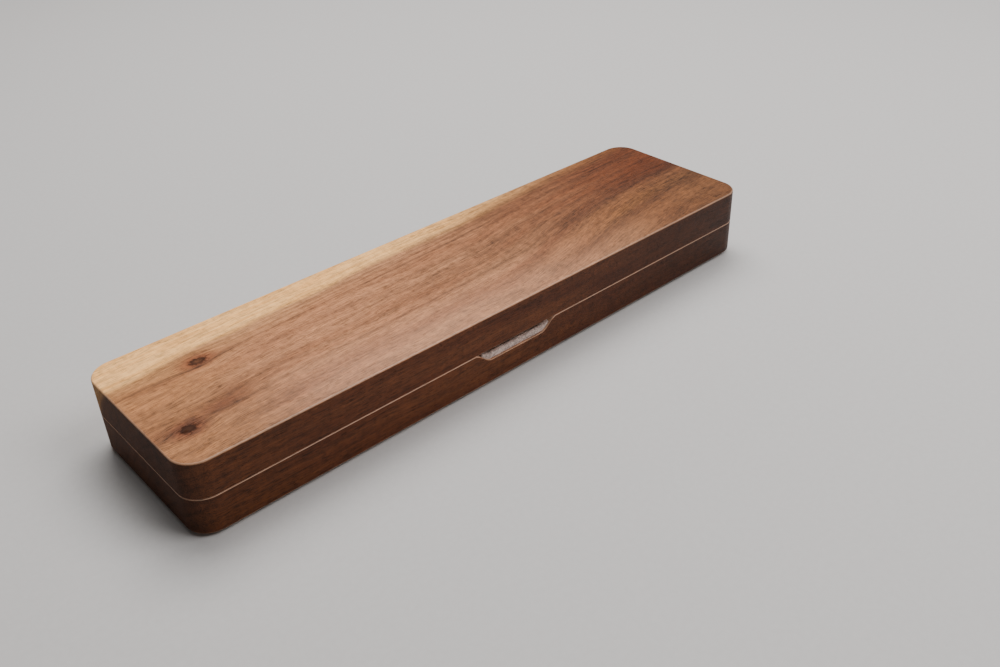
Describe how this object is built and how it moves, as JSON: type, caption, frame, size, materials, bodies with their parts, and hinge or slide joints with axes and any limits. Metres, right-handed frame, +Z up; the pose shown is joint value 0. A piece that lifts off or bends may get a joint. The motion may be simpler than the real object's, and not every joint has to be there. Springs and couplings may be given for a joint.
{
  "type": "wrist rest",
  "caption": "Walnut keyboard wrist rest that opens as a flat felt-lined storage case, with a lid hinged along the back, a finger notch at the front and rubber feet.",
  "frame": {"origin": "on the table, under the middle of the case", "axes": "+X along the length, from the end with the knots to the other; -Y is the front, with the finger notch; +Z is up"},
  "size_m": [0.3, 0.08, 0.0335],
  "materials": {
    "walnut_lid": "satin oil",
    "walnut_base": "satin oil",
    "felt": "fuzzy light-grey wool felt",
    "brass": "satin",
    "magnet": "nickel plated",
    "rubber": "matt"
  },
  "bodies": {
    "base": {"base_tray": "walnut_base", "base_floor_felt": "felt", "base_wall_felt": "felt", "notch_felt_tab": "felt", "hinge_left_base_leaf": "brass", "hinge_left_pin": "brass", "hinge_right_base_leaf": "brass", "hinge_right_pin": "brass", "base_hinge_screws": "brass", "base_magnet_left": "magnet", "base_magnet_right": "magnet", "foot_front_left": "rubber", "foot_front_right": "rubber", "foot_rear_left": "rubber", "foot_rear_right": "rubber"},
    "lid": {"lid_shell": "walnut_lid", "lid_ceiling_felt": "felt", "lid_wall_felt": "felt", "hinge_left_lid_leaf": "brass", "hinge_right_lid_leaf": "brass", "lid_hinge_screws": "brass", "lid_magnet_left": "magnet", "lid_magnet_right": "magnet"}
  },
  "joints": [
    {"name": "lid_hinge", "type": "hinge", "parent": "base", "child": "lid", "pos_m": [0, 0.0382, 0.0175], "axis": [-1, 0, 0], "range_deg": [0, 95]}
  ]
}
